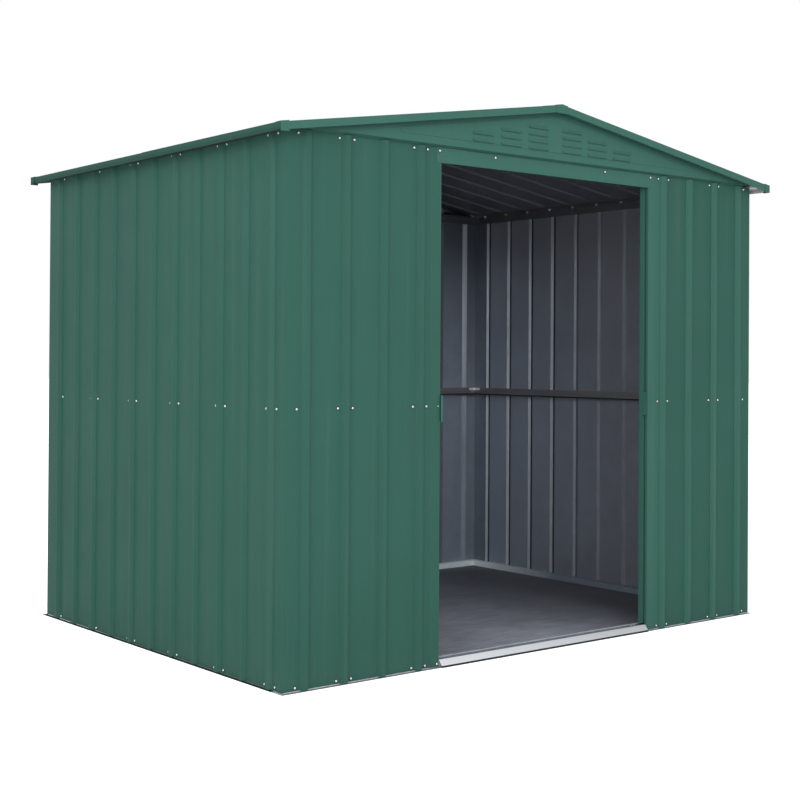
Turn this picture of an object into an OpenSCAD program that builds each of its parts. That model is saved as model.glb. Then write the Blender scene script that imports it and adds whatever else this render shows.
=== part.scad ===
// Metal storage shed with a low gable roof, lapped ribbed sheets and a pair of sliding doors.
// Millimetres. The front faces -Y, the ground is z = 0 and the origin is the middle of the footprint.

/* [Walls] */
// Width of the walls over the flat pans, left to right
wall_w = 2280; // [2150:5:2500]
// Depth of the walls over the flat pans, front to back
wall_d = 1703; // [1500:1:1900]
// Height of the top edge of the wall panels
wall_h = 1748; // [1650:1:1900]
// Height of the bottom edge of the wall panels
panel_lift = 4; // [3:0.5:8]
// Distance from the front corner to the first joint rib of a side wall
side_margin = 77; // [60:1:120]

/* [Sheet] */
// Thickness of the wall, roof, door and trim sheet
sheet_t = 0.8; // [0.6:0.1:1.2]
// Thickness of the rails, tracks and brackets
rail_t = 1.2; // [0.8:0.1:2]
// Gap between pieces that seat on each other
seat_gap = 0.2; // [0.1:0.05:0.3]

/* [Ribs] */
// Width of one lapped sheet, from joint rib to joint rib
panel_pitch = 305; // [280:1:320]
// Width of a rib at its foot
rib_base = 32; // [26:1:40]
// Width of a rib across its crest
rib_crest = 17; // [14:1:24]
// Height of a rib above the pan
rib_h = 12; // [6:0.5:14]
// Length of rib crest left off the sheet that lies under a lap
lap_cut = 6; // [4:1:10]

/* [Doorway] */
// Width of the doorway between the jambs
door_open_w = 1036; // [900:2:1100]
// Height of the header's face
header_h = 51; // [40:1:80]
// Width of the raised jamb band beside the doorway
jamb_w = 40; // [30:1:60]
// Height of the jamb band above the pans
jamb_out = 3; // [2:0.5:8]
// Depth of the jamb's return into the doorway
jamb_in = 7.5; // [6:0.5:9]
// Flat width from the jamb band to the nearest joint rib
jamb_pan = 47.5; // [30:0.5:60]
// Overlap of the header on each jamb band
header_lap = 20; // [10:1:30]

/* [Base] */
// Height of the base rails
base_h = 27; // [20:1:40]
// Depth of the base rails into the shed
base_d = 30; // [24:1:45]
// Reach of the base flange outside the pans
base_flange = 13; // [8:0.5:16]
// Height of the two upstands of the door floor track
sill_h = 24; // [18:0.5:30]
// Depth of the door floor track into the shed
track_d = 48; // [46:1:60]
// Reach of the sill ramp in front of the pans
ramp_out = 18; // [14:0.5:30]
// Thickness of the floor sheet
floor_t = 2; // [1:0.5:6]

/* [Rails] */
// Height of the underside of the middle rails
mid_z = 857; // [700:1:1000]
// Height of the middle rails
mid_h = 35; // [30:1:60]
// Depth of the middle rails of the side and back walls
mid_d = 28; // [20:1:40]
// Depth of the middle rails behind the front panels
front_mid_d = 10; // [8:0.5:12]
// Height of the upturned lip of a middle rail
mid_lip = 12; // [8:1:20]
// Height of the flange of the top rails on the walls
top_h = 36; // [30:1:36]
// Depth of the top rails of the side and back walls
top_d = 30; // [20:1:45]

/* [Doors] */
// Width of one door
door_w = 535; // [500:1:560]
// Depth of the folded door edge
door_t = 17; // [15:0.5:20]
// Distance from the front pans to the face of the doors
door_set = 16; // [15.5:0.5:22]
// Reach of an open door into the doorway
door_peek = 7; // [6:0.5:12]
// Clear height under and over the doors in their tracks
door_gap = 6; // [5:0.5:10]
// Depth of the door's pressed ribs
door_rib_h = 6; // [4:0.5:10]
// Width of the fold at the back of the door edges
door_hem = 12; // [8:1:20]
// Height of the door's cross rails
door_rail_h = 26; // [20:1:40]
// Height of the underside of the door pull
pull_z = 825; // [700:1:1000]
// Height of the door pull
pull_h = 89; // [60:1:120]
// Width of the door pull's grip lip
pull_w = 9; // [6:0.5:24]
// Clear depth between the grip lip and the jamb band
pull_gap = 5.5; // [5:0.5:10]

/* [Door track] */
// Width of the overhead door track
hang_w = 32; // [28:1:40]
// Height of the overhead door track
hang_h = 28; // [26:1:36]
// Width of the slot under the overhead track
hang_slot = 14; // [12:0.5:16]
// Length of a hanger block along the track
hanger_l = 60; // [40:1:90]
// Height of a hanger block
hanger_h = 11; // [8:0.5:16]
// Thickness of a hanger's stem
stem_t = 2; // [1.5:0.5:3]
// Width of a floor guide across the track
guide_w = 12; // [8:0.5:16]
// Distance from a door's end to the middle of a hanger
hanger_in = 70; // [50:1:120]

/* [Roof] */
// Slope of the roof in degrees
roof_pitch = 9.1; // [7:0.1:12]
// Overhang of the roof past the side walls
eave_over = 57; // [45:1:80]
// Overhang of the roof past the front and back walls
verge_over = 55.5; // [45:0.5:80]
// Height of the roof pans above the wall panels, at the side walls
roof_lift = 2; // [1.5:0.5:6]
// Depth of the verge trims' face below the roof pans
verge_drop = 12; // [10:1:30]
// Width of the verge trims' top flange
verge_flange = 24; // [20:1:30]
// Height of the eave fascias' face
fascia_h = 25; // [20:1:40]
// Set-back of the eave fascias' lower half
fascia_lean = 4; // [2:0.5:6]
// Width of the eave fascias' top flange
fascia_flange = 30; // [20:1:45]
// Distance from the front trim to the splice in the eave fascias
splice_y = 880; // [600:5:1100]
// Length of the lap at the splice
splice_lap = 40; // [20:1:60]
// Half width of the ridge cap
cap_w = 90; // [60:1:120]
// Half width of the ridge end caps
end_cap_w = 28; // [20:1:40]
// Width of the eave corner caps, on both faces
corner_cap_w = 30; // [26:1:45]
// Thickness of the end caps
cap_t = 1; // [0.8:0.1:2]
// Width of the ridge beam
beam_w = 50; // [40:1:80]
// Height of the ridge beam's sides
beam_h = 45; // [30:1:70]

/* [Gables] */
// Distance the gables stand in front of the wall pans
gable_out = 20; // [14:1:30]
// Rise of the gables' lower edge above the wall tops
gable_lift = 6; // [2:0.5:8]
// Height of the raised pad's lower edge above the gable's foot
pad_foot = 31; // [20:1:40]
// Distance from the roof pans down to the pad's upper edges
pad_head = 24; // [20:1:40]
// Half width of the raised pad
pad_half = 705; // [560:5:740]
// Height of the raised pad
pad_out = 1.5; // [1:0.1:3]
// Width of a louvre
louvre_w = 94; // [60:1:100]
// Height of a louvre hood
louvre_h = 12; // [8:0.5:15]
// Reach of a louvre hood
louvre_out = 5; // [3:0.5:8]
// Height of a louvre's slot
louvre_slot = 7; // [4:0.5:8]
// Distance from the middle of the gable to the first louvre column
louvre_first = 84; // [60:1:100]
// Distance between louvre columns
louvre_pitch_x = 131.5; // [110:0.5:150]
// Distance between louvre rows
louvre_pitch_z = 24.5; // [18:0.5:28]
// Louvres in the column nearest the middle
louvre_rows = 4; // [1:1:4]

/* [Hidden] */
half_w = wall_w / 2;
half_d = wall_d / 2;
door_half = door_open_w / 2;
inside = sheet_t + seat_gap;
lap_d = sheet_t + seat_gap;
rib_angle = atan2(rib_h, (rib_base - rib_crest) / 2);
lap_foot = lap_d / sin(rib_angle);
lap_crest = lap_d * tan(rib_angle / 2);
over_cut = seat_gap + sheet_t * cos(rib_angle);
front_joint = door_half + jamb_w + jamb_pan;
corner_joint = front_joint + panel_pitch;
side_rest = 60;
side_count = floor((wall_d - side_margin - side_rest) / panel_pitch);
back_count = 2 * floor((half_w - side_rest) / panel_pitch);
back_joint = back_count / 2 * panel_pitch;
jamb_step = 3;
jamb_foot = sill_h + lap_d;
header_face = jamb_out + lap_d;
header_z = wall_h - header_h;
slope = tan(roof_pitch);
ridge_z = wall_h + roof_lift + sheet_t / cos(roof_pitch) + slope * half_w;
roof_half_w = half_w + eave_over;
roof_half_d = half_d + verge_over;
roof_seat = rib_h + seat_gap;
trim_top = roof_seat + sheet_t;
sheet_edge = roof_half_d - inside;
edge_rib = sheet_edge - rib_base / 2 - 3;
roof_count = floor((edge_rib - panel_pitch / 2 - rib_base) / panel_pitch);
hang_mid = door_set + door_t / 2;
hang_top = wall_h - rail_t - seat_gap;
hang_z = hang_top - hang_h;
hang_back = hang_mid + hang_w / 2;
door_top = hang_z - door_gap - rail_t - seat_gap;
door_foot = sill_h + door_gap;
door_open_x = door_half - door_peek;
pull_t = 1.5;
gable_foot = wall_h + seat_gap;
gable_half = half_w - 20;
gable_lip = gable_half - gable_lift / slope;
bracket_leg = 37;
bracket_h = 12;

paint = [0.24, 0.40, 0.36];
trim_paint = [0.28, 0.45, 0.40];
roof_paint = [0.24, 0.40, 0.36];
dark_steel = [0.23, 0.22, 0.25];
zinc = [0.72, 0.75, 0.78];
floor_grey = [0.28, 0.28, 0.31];
nylon = [0.12, 0.12, 0.13];

// Folded sheet: the outline of a sheet bent along a path, t thick on the path's right hand
function heading(a, b) = (b - a) / norm(b - a);
function right_of(v) = [v[1], -v[0]];
function normal_at(path, i) = right_of(heading(path[i], path[i + 1]));
function offset_at(path, i, t) =
    let (last = len(path) - 2)
    let (before = normal_at(path, max(i - 1, 0)))
    let (after = normal_at(path, min(i, last)))
    path[i] + t * (before + after) / (1 + before * after);
function offset_path(path, t) = [for (i = [0:len(path) - 1]) offset_at(path, i, t)];
function reversed(path) = [for (i = [len(path) - 1:-1:0]) path[i]];

module fold(path, t = sheet_t) {
    polygon(concat(path, reversed(offset_path(path, t))));
}

// Directions to extrude an outline: upright, along X and along Y
module stand(z0, z1) {
    translate([0, 0, z0])
        linear_extrude(z1 - z0)
            children();
}

module run_x(x0, x1) {
    translate([x0, 0, 0])
        rotate([90, 0, 90])
            linear_extrude(x1 - x0)
                children();
}

module run_y(y0, y1) {
    translate([0, y1, 0])
        rotate([90, 0, 0])
            linear_extrude(y1 - y0)
                children();
}

// Outlines drawn by distance in from a wall's pans, and by height
module front_run(x0, x1) {
    run_x(x0, x1)
        translate([-half_d, 0])
            children();
}

module left_run(y0, y1) {
    run_y(y0, y1)
        translate([-half_w, 0])
            children();
}

module to_back() {
    mirror([0, 1, 0])
        children();
}

module to_right() {
    mirror([1, 0, 0])
        children();
}

// Places on the walls, from distance along the wall and height above its pans
function on_front(p) = [-p[0], -half_d - p[1]];
function on_left(p) = [-half_w - p[1], -half_d + p[0]];
function on_back(p) = [p[0], half_d + p[1]];

// Ribs, and the two kinds of lap at a joint rib
function rib(c, h = rib_h) = [
    [c - rib_base / 2, 0],
    [c - rib_crest / 2, h],
    [c + rib_crest / 2, h],
    [c + rib_base / 2, 0]];
function over_end(c) = [
    [c - rib_base / 2, 0],
    [c - rib_crest / 2, rib_h],
    [c + rib_crest / 2, rib_h],
    [c + rib_base / 2 - over_cut / tan(rib_angle), over_cut]];
function over_start(c) = [
    [c - rib_base / 2 + over_cut / tan(rib_angle), over_cut],
    [c - rib_crest / 2, rib_h],
    [c + rib_crest / 2, rib_h],
    [c + rib_base / 2, 0]];
function under_end(c) = [
    [c - rib_base / 2 + lap_foot, 0],
    [c - rib_crest / 2 + lap_crest, rib_h - lap_d],
    [c + rib_crest / 2 - lap_cut, rib_h - lap_d]];
function under_start(c) = [
    [c - rib_crest / 2 + lap_cut, rib_h - lap_d],
    [c + rib_crest / 2 - lap_crest, rib_h - lap_d],
    [c + rib_base / 2 - lap_foot, 0]];
function sheet_path(a, b) = concat(under_start(a), rib((a + b) / 2), over_end(b));
function closing_path(a, b) = concat(under_start(a), rib((a + b) / 2), under_end(b));

// A rib in a corner panel, where the leg is long enough to hold one
function leg_rib(c, limit) = c < limit - rib_base ? rib(c) : [];

module sheet_upright(path) {
    stand(panel_lift, wall_h)
        fold(path);
}

// Base
base_flange_path = [[-base_flange, 0], [inside + rail_t, 0]];
base_path = [
    [inside, rail_t / 2],
    [inside, base_h],
    [base_d, base_h],
    [base_d, 0]];

module base_flange_strip() {
    fold(base_flange_path, -rail_t);
}

module base_hat() {
    fold(base_path, rail_t);
}

module front_floor_track() {
    color(zinc) {
        front_run(-half_w - base_flange, half_w + base_flange)
            fold([[-base_flange, 0], [track_d, 0]], -rail_t);
        front_run(-half_w + inside, half_w - inside) {
            fold([[inside, rail_t / 2], [inside, sill_h]], rail_t);
            fold([[track_d, rail_t / 2], [track_d, sill_h]], -rail_t);
        }
    }
}

module back_base_rail() {
    hat_half = half_w - inside - rail_t - seat_gap;
    color(zinc)
        to_back() {
            front_run(-half_w - base_flange, half_w + base_flange)
                base_flange_strip();
            front_run(-hat_half, hat_half)
                base_hat();
        }
}

module left_base_rail() {
    rail_start = -half_d + track_d + seat_gap;
    color(zinc) {
        left_run(rail_start, half_d - inside - rail_t - seat_gap)
            base_flange_strip();
        left_run(rail_start, half_d - base_d - seat_gap)
            base_hat();
    }
}

module right_base_rail() {
    to_right()
        left_base_rail();
}

module door_sill() {
    sill_half = door_half - 4;
    sill_top = sill_h + lap_d;
    hook = inside + rail_t + lap_d;
    color("gainsboro")
        front_run(-sill_half, sill_half)
            fold([[-ramp_out, 0], [-ramp_out, 3], [0.6, sill_top], [hook, sill_top], [hook, sill_h - 5]]);
}

module floor_sheet() {
    floor_half = half_w - base_d - seat_gap;
    floor_front = -half_d + track_d + seat_gap;
    floor_back = half_d - base_d - seat_gap;
    color(floor_grey)
        translate([-floor_half, floor_front, 0])
            cube([2 * floor_half, floor_back - floor_front, floor_t]);
}

// Wall sheets
module left_wall_panels() {
    color(paint)
        for (i = [0:side_count - 1]) {
            joint = side_margin + i * panel_pitch;
            sheet_upright([for (p = sheet_path(joint, joint + panel_pitch)) on_left(p)]);
        }
}

module right_wall_panels() {
    to_right()
        left_wall_panels();
}

module back_wall_panels() {
    color(paint) {
        for (i = [0:back_count - 2]) {
            joint = -back_joint + i * panel_pitch;
            sheet_upright([for (p = sheet_path(joint, joint + panel_pitch)) on_back(p)]);
        }
        last_path = closing_path(back_joint - panel_pitch, back_joint);
        sheet_upright([for (p = last_path) on_back(p)]);
    }
}

module front_left_corner_panel() {
    front_leg = concat(over_start(corner_joint), leg_rib(corner_joint + panel_pitch / 2, half_w));
    side_leg = over_end(side_margin);
    color(paint)
        sheet_upright(concat(
            [for (p = front_leg) on_front(p)],
            [[-half_w, -half_d]],
            [for (p = side_leg) on_left(p)]));
}

module front_right_corner_panel() {
    to_right()
        front_left_corner_panel();
}

module back_left_corner_panel() {
    side_leg = under_start(side_margin + side_count * panel_pitch);
    back_leg = concat(
        half_w - back_joint - panel_pitch / 2 > rib_base ? rib(-back_joint - panel_pitch / 2) : [],
        over_end(-back_joint));
    color(paint)
        sheet_upright(concat(
            [for (p = side_leg) on_left(p)],
            [[-half_w, half_d]],
            [for (p = back_leg) on_back(p)]));
}

module back_right_corner_panel() {
    to_right()
        back_left_corner_panel();
}

module front_left_panel() {
    front_path = concat(
        over_start(front_joint),
        rib(front_joint + panel_pitch / 2),
        under_end(corner_joint));
    color(paint)
        sheet_upright([for (p = front_path) on_front(p)]);
}

module front_right_panel() {
    to_right()
        front_left_panel();
}

// Doorway
module left_jamb() {
    band = [
        [door_half, jamb_out],
        [door_half + jamb_w, jamb_out],
        [door_half + jamb_w + jamb_step, 0]];
    band_path = concat(band, under_end(front_joint));
    hem = [[door_half + 10, -jamb_in], [door_half, -jamb_in]];
    notch_z = wall_h - top_h - 4;
    color(trim_paint) {
        stand(jamb_foot, notch_z)
            fold([for (p = concat(hem, band_path)) on_front(p)]);
        stand(panel_lift, wall_h)
            fold([for (p = band_path) on_front(p)]);
    }
}

module right_jamb() {
    to_right()
        left_jamb();
}

module header() {
    face_half = door_half + header_lap;
    flange_half = door_half - seat_gap;
    color(trim_paint) {
        front_run(-face_half, face_half)
            fold([[-header_face, header_z], [-header_face, wall_h]]);
        front_run(-flange_half, flange_half)
            fold([[jamb_in, header_z], [-header_face + sheet_t / 2, header_z]]);
    }
}

// Roof heights: x from the middle, v above the pans and square to them
function roof_z(x, v) = ridge_z + v / cos(roof_pitch) - slope * abs(x);

module on_slope() {
    translate([0, 0, ridge_z])
        rotate([0, roof_pitch, 0])
            children();
}

// Gables with a raised pad and pressed louvres
function gable_under(x) = roof_z(x, -sheet_t - seat_gap);
louvre_foot = gable_foot + pad_foot + 3;

module at_louvres() {
    for (side = [-1, 1])
        for (column = [0:2])
            for (row = [0:louvre_rows - 1 - column])
                translate([
                    side * (louvre_first + column * louvre_pitch_x),
                    louvre_foot + row * louvre_pitch_z])
                    children();
}

module pad_outline() {
    polygon([
        [-pad_half, gable_foot + pad_foot],
        [pad_half, gable_foot + pad_foot],
        [pad_half, roof_z(pad_half, -pad_head)],
        [0, roof_z(0, -pad_head)],
        [-pad_half, roof_z(pad_half, -pad_head)]]);
}

module gable_outline() {
    polygon([
        [-gable_half, gable_foot],
        [-gable_lip, gable_foot + gable_lift],
        [gable_lip, gable_foot + gable_lift],
        [gable_half, gable_foot],
        [gable_half, gable_under(gable_half)],
        [0, gable_under(0)],
        [-gable_half, gable_under(gable_half)]]);
}

module louvre_hood() {
    run_x(-louvre_w / 2, louvre_w / 2)
        fold([[-louvre_out, 0], [sheet_t / 2, louvre_h]], sheet_t);
    for (x = [-louvre_w / 2, louvre_w / 2 - sheet_t])
        run_x(x, x + sheet_t)
            polygon([[-louvre_out, 0], [sheet_t / 2, 0], [sheet_t / 2, louvre_h]]);
}

module gable() {
    pad_y = -half_d - gable_out - pad_out;
    translate([0, -half_d - gable_out + sheet_t, 0])
        rotate([90, 0, 0]) {
            linear_extrude(sheet_t)
                difference() {
                    gable_outline();
                    offset_pad();
                }
            linear_extrude(sheet_t + pad_out)
                difference() {
                    pad_outline();
                    offset_pad();
                }
            translate([0, 0, pad_out])
                linear_extrude(sheet_t)
                    difference() {
                        pad_outline();
                        at_louvres()
                            translate([-louvre_w / 2 + sheet_t, 0])
                                square([louvre_w - 2 * sheet_t, louvre_slot]);
                    }
        }
    for (side = [-1, 1])
        for (column = [0:2])
            for (row = [0:louvre_rows - 1 - column])
                translate([
                    side * (louvre_first + column * louvre_pitch_x),
                    pad_y,
                    louvre_foot + row * louvre_pitch_z])
                    louvre_hood();
    lip_z = gable_foot + sheet_t;
    front_run(-gable_lip, gable_lip)
        fold([[-gable_out, lip_z + gable_lift], [0, lip_z], [jamb_in, lip_z]]);
}

// The pad's outline drawn in by one sheet thickness, for the step around its edge
module offset_pad() {
    foot = gable_foot + pad_foot + sheet_t;
    side = pad_half - sheet_t;
    polygon([
        [-side, foot],
        [side, foot],
        [side, roof_z(side, -pad_head - sheet_t)],
        [0, roof_z(0, -pad_head - sheet_t)],
        [-side, roof_z(side, -pad_head - sheet_t)]]);
}

module front_gable() {
    color(trim_paint)
        gable();
}

module back_gable() {
    to_back()
        front_gable();
}

// Rails inside the walls
module mid_section(depth) {
    fold([[inside, mid_z + mid_h], [inside, mid_z], [depth, mid_z], [depth, mid_z + mid_lip]], -rail_t);
}

module left_mid_rail() {
    color(dark_steel)
        left_run(-half_d + front_mid_d + seat_gap, half_d - inside)
            mid_section(mid_d);
}

module right_mid_rail() {
    to_right()
        left_mid_rail();
}

module back_mid_rail() {
    color(dark_steel)
        to_back()
            front_run(-half_w + mid_d + seat_gap, half_w - mid_d - seat_gap)
                mid_section(mid_d);
}

module front_left_mid_rail() {
    color(dark_steel)
        front_run(-half_w + inside, -door_half - 12)
            mid_section(front_mid_d);
}

module front_right_mid_rail() {
    to_right()
        front_left_mid_rail();
}

module left_top_rail() {
    top_under = wall_h + roof_lift - seat_gap;
    color(dark_steel)
        left_run(-half_d + hang_back + seat_gap, half_d - top_d - seat_gap)
            fold([
                [inside, wall_h - top_h],
                [inside, top_under + slope * inside],
                [top_d, top_under + slope * top_d]], rail_t);
}

module right_top_rail() {
    to_right()
        left_top_rail();
}

module level_top_rail(depth) {
    front_run(-half_w + inside, half_w - inside)
        fold([[inside, wall_h - top_h], [inside, wall_h], [depth, wall_h]], rail_t);
}

module back_top_rail() {
    color(dark_steel)
        to_back()
            level_top_rail(top_d);
}

module front_top_rail() {
    color(dark_steel)
        level_top_rail(hang_back);
}

module door_top_track() {
    lip = hang_slot / 2;
    front = hang_mid - hang_w / 2;
    color(zinc)
        front_run(-half_w + inside, half_w - inside)
            fold([
                [hang_mid - lip, hang_z],
                [front, hang_z],
                [front, hang_top],
                [hang_back, hang_top],
                [hang_back, hang_z],
                [hang_mid + lip, hang_z]], rail_t);
}

// Zinc angles that tie the rails together at the two back corners
module corner_bracket(depth, z) {
    leg = depth + bracket_leg;
    path = [[depth, leg], [depth, depth], [leg, depth]];
    translate([-half_w, half_d, z])
        linear_extrude(bracket_h)
            fold([for (p = path) [p[0], -p[1]]], rail_t);
}

module corner_brackets() {
    color(zinc)
        for (side = [0, 1])
            mirror([side, 0, 0]) {
                corner_bracket(inside + rail_t + seat_gap, mid_z + mid_h - bracket_h - 1);
                corner_bracket(base_d + seat_gap, base_h - bracket_h - 1);
            }
}

// Roof
function roof_joint(k) = k * panel_pitch;
function verge_path(edge) = concat(
    [[-sheet_edge, 0]],
    rib(-edge_rib),
    rib(edge - panel_pitch / 2),
    over_end(edge));
function last_verge_path(edge) = concat(
    under_start(edge),
    rib(edge + panel_pitch / 2),
    rib(edge_rib),
    [[sheet_edge, 0]]);

module roof_sheet(path) {
    s0 = 8;
    s1 = (roof_half_w - inside - rib_h * sin(roof_pitch)) / cos(roof_pitch);
    on_slope()
        run_x(s0, s1)
            fold(path);
}

module right_roof_sheets() {
    color(roof_paint) {
        roof_sheet(verge_path(roof_joint(-roof_count)));
        for (k = [-roof_count:roof_count - 1])
            roof_sheet(sheet_path(roof_joint(k), roof_joint(k + 1)));
        roof_sheet(last_verge_path(roof_joint(roof_count)));
    }
}

module left_roof_sheets() {
    to_right()
        right_roof_sheets();
}

module ridge_beam() {
    beam_end = half_d + gable_out - sheet_t - seat_gap;
    side = beam_w / 2;
    color(dark_steel)
        run_y(-beam_end, beam_end)
            fold([
                [-side, gable_under(side) - beam_h],
                [-side, gable_under(side)],
                [0, gable_under(0)],
                [side, gable_under(side)],
                [side, gable_under(side) - beam_h]], rail_t);
}

module ridge_cap() {
    v = trim_top + lap_d;
    cap_end = roof_half_d - 2;
    color(trim_paint)
        run_y(-cap_end, cap_end)
            fold([[-cap_w, roof_z(cap_w, v)], [0, roof_z(0, v)], [cap_w, roof_z(cap_w, v)]]);
}

module ridge_end_cap() {
    v = trim_top + lap_d + seat_gap + cap_t;
    face = -roof_half_d - seat_gap;
    crown = [[-end_cap_w, roof_z(end_cap_w, v)], [0, roof_z(0, v)], [end_cap_w, roof_z(end_cap_w, v)]];
    run_y(face - cap_t, face + corner_cap_w)
        fold(crown, cap_t);
    run_y(face - cap_t, face)
        polygon(concat(crown, [
            [end_cap_w, roof_z(end_cap_w, -verge_drop - 1)],
            [-end_cap_w, roof_z(end_cap_w, -verge_drop - 1)]]));
}

module ridge_end_caps() {
    color(trim_paint)
        for (side = [0, 1])
            mirror([0, side, 0])
                ridge_end_cap();
}

module verge_trim() {
    s0 = verge_drop * slope + 1;
    s1 = (roof_half_w - inside) / cos(roof_pitch);
    face = -roof_half_d;
    on_slope()
        run_x(s0, s1)
            fold([
                [face + 10, -verge_drop],
                [face, -verge_drop],
                [face, trim_top],
                [face + verge_flange, trim_top]]);
}

module front_verge_trims() {
    color(trim_paint)
        for (side = [0, 1])
            mirror([side, 0, 0])
                verge_trim();
}

module back_verge_trims() {
    to_back()
        front_verge_trims();
}

module fascia_section(grow) {
    x = roof_half_w + grow;
    v = trim_top + grow;
    top = roof_z(x, v);
    foot = top - fascia_h - 2 * grow;
    fold([
        [x - fascia_lean - 8, foot],
        [x - fascia_lean, foot],
        [x, foot + fascia_h / 2],
        [x, top],
        [x - fascia_flange, roof_z(x - fascia_flange, v)]], -sheet_t);
}

module right_eave_fascia() {
    fascia_end = roof_half_d - verge_flange - seat_gap;
    splice = -roof_half_d + splice_y;
    color(trim_paint) {
        run_y(-fascia_end, splice)
            fascia_section(lap_d);
        run_y(splice - splice_lap, fascia_end)
            fascia_section(0);
    }
}

module left_eave_fascia() {
    to_right()
        right_eave_fascia();
}

module eave_corner_cap() {
    x1 = roof_half_w + lap_d + seat_gap;
    x0 = x1 - corner_cap_w;
    v = trim_top + lap_d + seat_gap;
    foot = roof_z(roof_half_w, trim_top) - fascia_h - 3;
    face = -roof_half_d - seat_gap;
    difference() {
        run_y(face - cap_t, face + corner_cap_w)
            polygon([
                [x0, foot],
                [x1 + cap_t, foot],
                [x1 + cap_t, roof_z(x1 + cap_t, v + cap_t)],
                [x0, roof_z(x0, v + cap_t)]]);
        run_y(face, face + corner_cap_w + 1)
            polygon([
                [x0 - 1, foot - 1],
                [x1, foot - 1],
                [x1, roof_z(x1, v)],
                [x0 - 1, roof_z(x0 - 1, v)]]);
    }
}

module eave_corner_caps() {
    color(trim_paint)
        for (side = [0, 1])
            for (end = [0, 1])
                mirror([side, 0, 0])
                    mirror([0, end, 0])
                        eave_corner_cap();
}

// Sliding doors, drawn open on the left: u runs from the leading edge to the trailing edge
function on_door(p) = on_front([p[0] + door_open_x, p[1] - door_set]);
door_rib_pitch = door_w / 3;

module left_door_panel() {
    path = concat(
        [[door_hem, -door_t], [0, -door_t], [0, 0]],
        rib(door_rib_pitch, -door_rib_h),
        rib(2 * door_rib_pitch, -door_rib_h),
        [[door_w, 0], [door_w, -door_t], [door_w - door_hem, -door_t]]);
    color(trim_paint)
        stand(door_foot, door_top)
            fold([for (p = path) on_door(p)]);
}

module right_door_panel() {
    to_right()
        left_door_panel();
}

// Channels across the back of a door: their webs lie level, and the folds keep them in the door's edges
module left_door_rails() {
    x0 = -door_open_x - door_w + inside;
    x1 = -door_open_x - inside;
    near = door_set + door_rib_h + lap_d;
    far = door_set + door_t - lap_d;
    middle = mid_z - door_rail_h;
    color(zinc)
        front_run(x0, x1) {
            fold([
                [near, door_top - door_rail_h],
                [near, door_top],
                [far, door_top],
                [far, door_top - door_rail_h]], rail_t);
            fold([
                [near, middle],
                [near, middle + door_rail_h],
                [far, middle + door_rail_h],
                [far, middle]], rail_t);
            fold([
                [near, door_foot + door_rail_h],
                [near, door_foot],
                [far, door_foot],
                [far, door_foot + door_rail_h]], -rail_t);
        }
}

module right_door_rails() {
    to_right()
        left_door_rails();
}

// Hanger blocks in the overhead track and guides in the floor track
module hanger() {
    block_w = hang_w - 2 * rail_t - 2;
    block_z = hang_z + rail_t + seat_gap;
    foot_z = door_top + seat_gap;
    translate([-hanger_l / 2, hang_mid - block_w / 2, block_z])
        cube([hanger_l, block_w, hanger_h]);
    translate([-hanger_l / 3, hang_mid - stem_t / 2, foot_z])
        cube([hanger_l * 2 / 3, stem_t, block_z - foot_z + 1]);
    translate([-hanger_l / 2, hang_mid - guide_w / 2, foot_z])
        cube([hanger_l, guide_w, rail_t]);
}

module guide() {
    guide_z = sill_h / 2;
    translate([-hanger_l / 2, hang_mid - guide_w / 2, guide_z])
        cube([hanger_l, guide_w, door_foot - seat_gap - guide_z]);
}

module left_door_runners() {
    color(nylon)
        for (u = [hanger_in, door_w - hanger_in])
            translate([-door_open_x - u, -half_d, 0]) {
                hanger();
                guide();
            }
}

module right_door_runners() {
    to_right()
        left_door_runners();
}

module left_door_pull() {
    reach = door_set + jamb_out + pull_gap + pull_t;
    path = [[0, seat_gap], [0, reach], [pull_w, reach]];
    color(trim_paint)
        stand(pull_z, pull_z + pull_h)
            fold([for (p = path) on_door(p)], pull_t);
}

module right_door_pull() {
    to_right()
        left_door_pull();
}

front_floor_track();
back_base_rail();
left_base_rail();
right_base_rail();
door_sill();
floor_sheet();
left_wall_panels();
right_wall_panels();
back_wall_panels();
front_left_corner_panel();
front_right_corner_panel();
back_left_corner_panel();
back_right_corner_panel();
front_left_panel();
front_right_panel();
left_jamb();
right_jamb();
header();
front_gable();
back_gable();
left_mid_rail();
right_mid_rail();
back_mid_rail();
front_left_mid_rail();
front_right_mid_rail();
left_top_rail();
right_top_rail();
back_top_rail();
front_top_rail();
door_top_track();
corner_brackets();
left_roof_sheets();
right_roof_sheets();
ridge_beam();
ridge_cap();
ridge_end_caps();
front_verge_trims();
back_verge_trims();
left_eave_fascia();
right_eave_fascia();
eave_corner_caps();
left_door_panel();
right_door_panel();
left_door_rails();
right_door_rails();
left_door_runners();
right_door_runners();
left_door_pull();
right_door_pull();
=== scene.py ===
"""Looks of the metal storage shed: paint, zinc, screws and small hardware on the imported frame."""

import math

import bmesh
import bpy
from bpy.props import FloatProperty, FloatVectorProperty, IntProperty, PointerProperty
from mathutils import Matrix, Vector


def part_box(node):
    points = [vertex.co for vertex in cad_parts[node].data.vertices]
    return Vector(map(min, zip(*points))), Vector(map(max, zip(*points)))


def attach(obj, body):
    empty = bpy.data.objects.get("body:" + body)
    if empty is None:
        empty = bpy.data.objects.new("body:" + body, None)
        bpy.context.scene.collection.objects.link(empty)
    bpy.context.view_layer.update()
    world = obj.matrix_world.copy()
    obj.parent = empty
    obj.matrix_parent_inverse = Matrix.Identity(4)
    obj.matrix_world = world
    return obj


bl_info = {
    "name": "Metal storage shed",
    "version": (1, 0, 0),
    "blender": (4, 5, 0),
    "location": "View3D > Sidebar > Shed",
    "description": "Finishes, fixings and stage for a metal shed with sliding doors",
    "category": "Object",
}

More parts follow.
